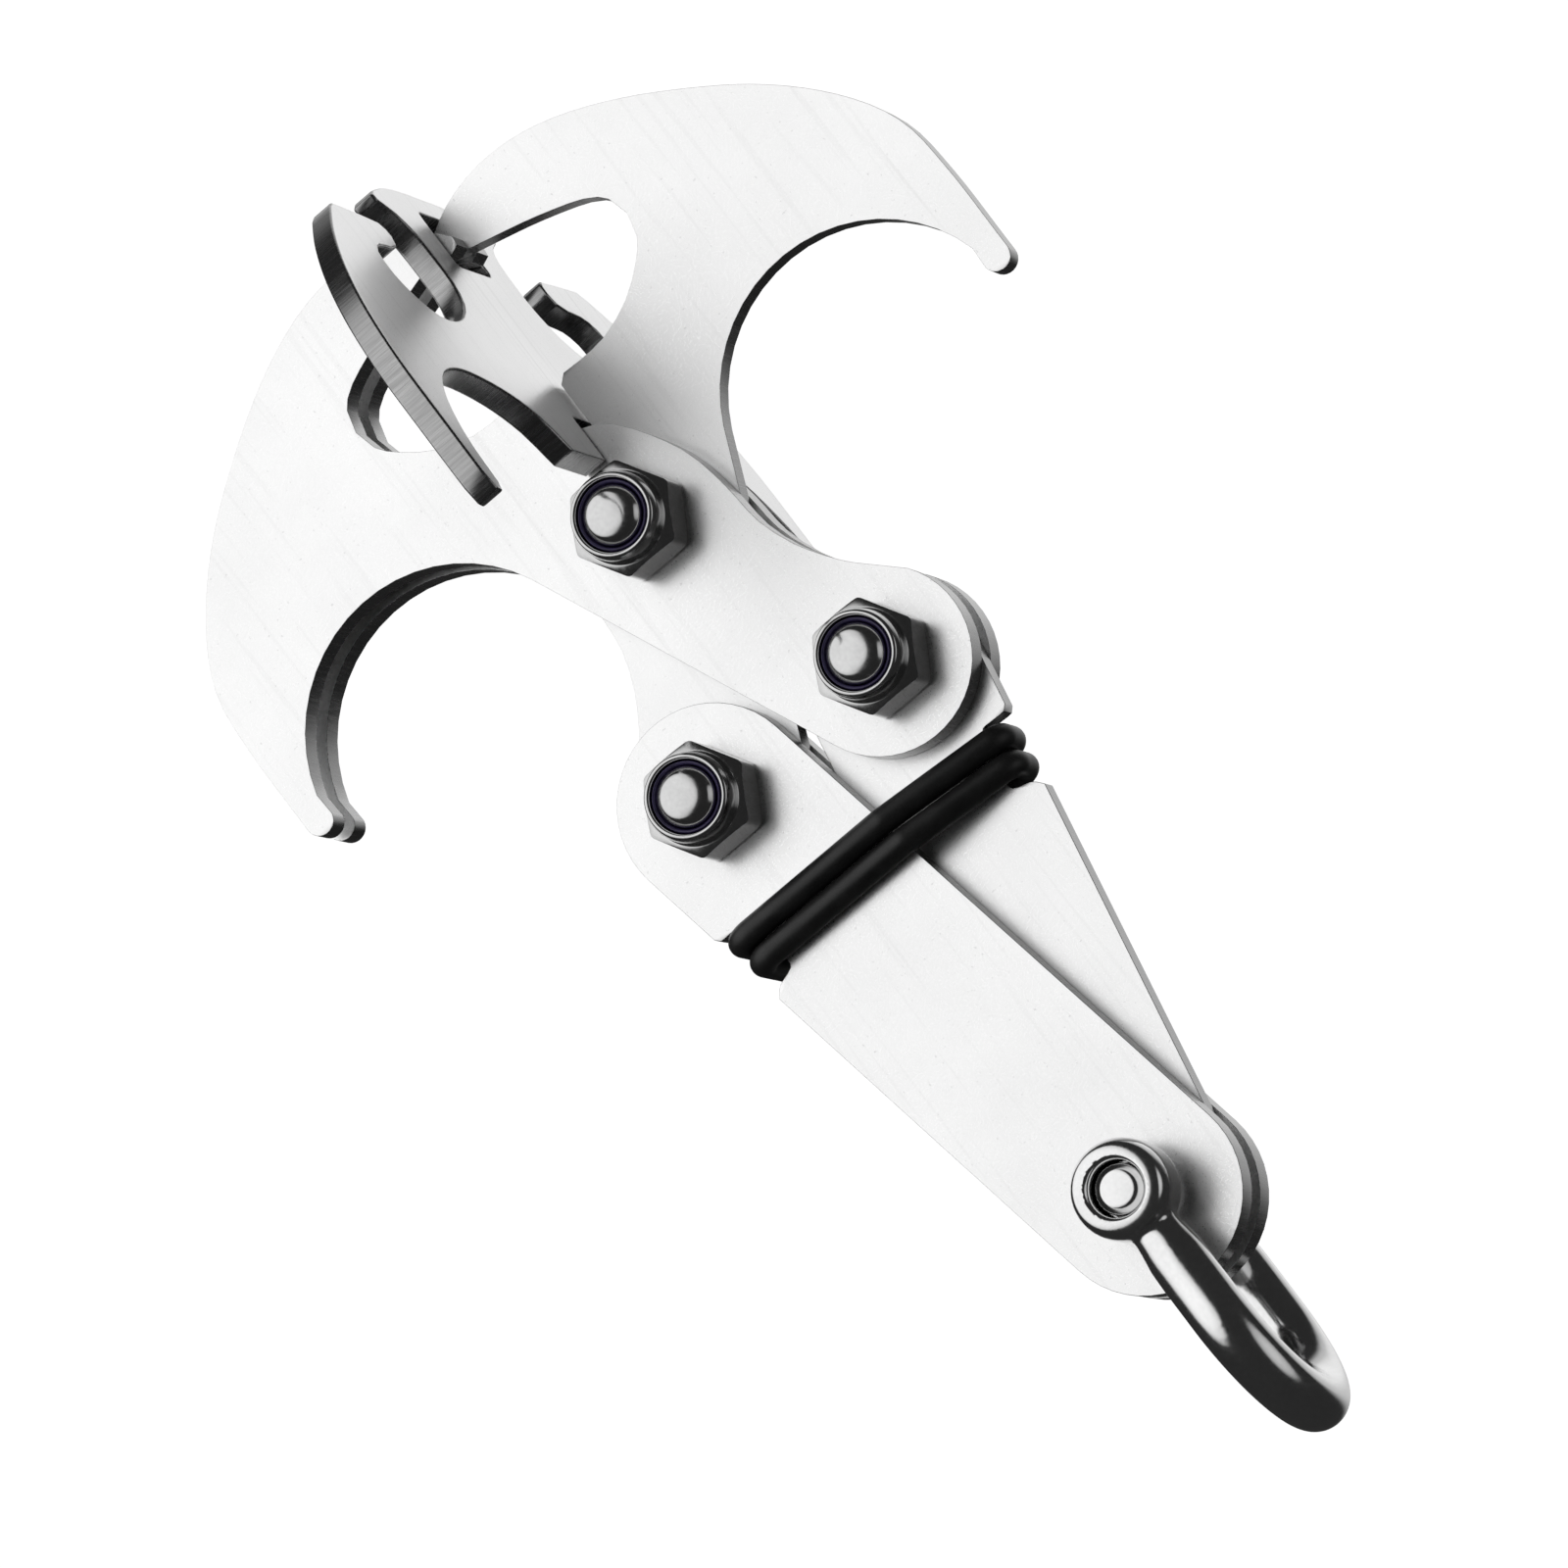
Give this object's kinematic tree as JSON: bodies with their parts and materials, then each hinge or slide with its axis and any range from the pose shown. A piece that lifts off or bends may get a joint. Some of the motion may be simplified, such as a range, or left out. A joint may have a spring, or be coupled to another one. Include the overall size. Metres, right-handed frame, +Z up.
{
  "type": "grapnel anchor",
  "caption": "Folding grapnel hook of flat steel plates: two large claws on a kite linkage, a removable cross claw and a D shackle.",
  "frame": {"origin": "inside of the shackle's crown, where a rope or ring carries the anchor", "axes": "+Z up the tool's axis through the claw pivot and the shackle pin; -Y is the side with the nuts; +X is the side of the double-plate claw's hook"},
  "size_m": [0.089, 0.1048, 0.1513],
  "materials": {
    "plate_steel": "satin stainless plate with a fine tumbled grain and bright edges",
    "fastener_steel": "polished stainless fasteners",
    "shackle_steel": "mirror-polished stainless shackle",
    "nylon": "dark violet-blue nylon",
    "rubber": "black rubber with a soft sheen"
  },
  "bodies": {
    "shackle": {"shackle_bow": "shackle_steel", "shackle_pin": "shackle_steel"},
    "outer_arm": {"outer_arm_front_plate": "plate_steel", "outer_arm_rear_plate": "plate_steel", "outer_arm_link_bolt": "fastener_steel", "outer_arm_link_lock_nut": "fastener_steel", "outer_arm_link_nylon_ring": "nylon"},
    "inner_arm": {"inner_arm_plate": "plate_steel", "inner_arm_link_bolt": "fastener_steel", "inner_arm_link_lock_nut": "fastener_steel", "inner_arm_link_nylon_ring": "nylon"},
    "inner_claw": {"inner_claw_plate": "plate_steel"},
    "outer_claw": {"outer_claw_front_plate": "plate_steel", "outer_claw_rear_plate": "plate_steel", "claw_pivot_bolt": "fastener_steel", "claw_pivot_lock_nut": "fastener_steel", "claw_pivot_nylon_ring": "nylon"},
    "cross_claw": {"cross_claw_plate": "plate_steel"},
    "lower_ring": {"lower_rubber_ring": "rubber"},
    "upper_ring": {"upper_rubber_ring": "rubber"}
  },
  "joints": [
    {"name": "shackle_swing", "type": "hinge", "parent": "shackle", "child": "outer_arm", "pos_m": [0, 0, -0.022], "axis": [0, 1, 0], "range_deg": [-100, 100]},
    {"name": "fold", "type": "hinge", "parent": "outer_arm", "child": "inner_claw", "pos_m": [0.01075, 0, -0.0785], "axis": [0, 1, 0], "range_deg": [0, 41]},
    {"name": "arm_spread", "type": "hinge", "parent": "outer_arm", "child": "inner_arm", "pos_m": [0, 0, -0.022], "axis": [0, 1, 0], "range_deg": [0, 24.5]},
    {"name": "outer_claw_turn", "type": "hinge", "parent": "inner_arm", "child": "outer_claw", "pos_m": [-0.01075, 0, -0.0785], "axis": [0, 1, 0], "range_deg": [-41.5, 0]},
    {"name": "cross_claw_follow", "type": "hinge", "parent": "inner_claw", "child": "cross_claw", "pos_m": [0, 0, -0.1046], "axis": [0, 1, 0], "range_deg": [-30, 0]},
    {"name": "lower_ring_roll", "type": "slide", "parent": "outer_arm", "child": "lower_ring", "axis": [-0.06, 0, 0.9982], "range_m": [0, 0.033], "deforming": ["lower_rubber_ring"]},
    {"name": "upper_ring_roll", "type": "slide", "parent": "outer_arm", "child": "upper_ring", "axis": [-0.06, 0, 0.9982], "range_m": [0, 0.033], "deforming": ["upper_rubber_ring"]}
  ],
  "couplings": [
    {"joint": "arm_spread", "follows": "fold", "ratio": 0.5888},
    {"joint": "outer_claw_turn", "follows": "fold", "ratio": -1},
    {"joint": "cross_claw_follow", "follows": "fold", "ratio": -0.7056},
    {"joint": "lower_ring_roll", "follows": "fold", "m_per_rad": 0.0457},
    {"joint": "upper_ring_roll", "follows": "fold", "m_per_rad": 0.0457}
  ]
}
